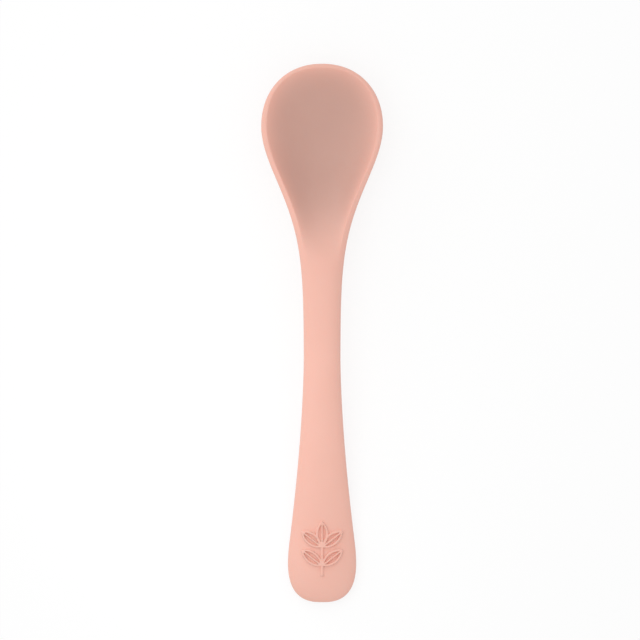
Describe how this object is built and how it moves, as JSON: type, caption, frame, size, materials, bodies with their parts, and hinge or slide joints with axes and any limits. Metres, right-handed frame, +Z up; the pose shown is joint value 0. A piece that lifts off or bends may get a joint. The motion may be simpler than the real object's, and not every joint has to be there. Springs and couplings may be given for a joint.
{
  "type": "baby spoon",
  "caption": "Soft one-piece feeding spoon with a rounded, shallow bowl and a flaring handle that carries a small raised leaf sprig.",
  "frame": {"origin": "on the table plane, under the middle of the spoon's length and width", "axes": "+Y from the handle's end to the bowl's tip, +Z up out of the bowl's hollow, +X to the right when seen from above with the tip pointing away"},
  "size_m": [0.0316, 0.14, 0.0122],
  "materials": {
    "silicone_front": "satin silicone, peach pink",
    "silicone_back": "satin silicone, peach pink",
    "core_plastic": "as moulded glass-filled nylon, natural off-white"
  },
  "bodies": {
    "root": {"silicone_front": "silicone_front", "silicone_back": "silicone_back", "stiffening_core": "core_plastic"}
  },
  "joints": []
}
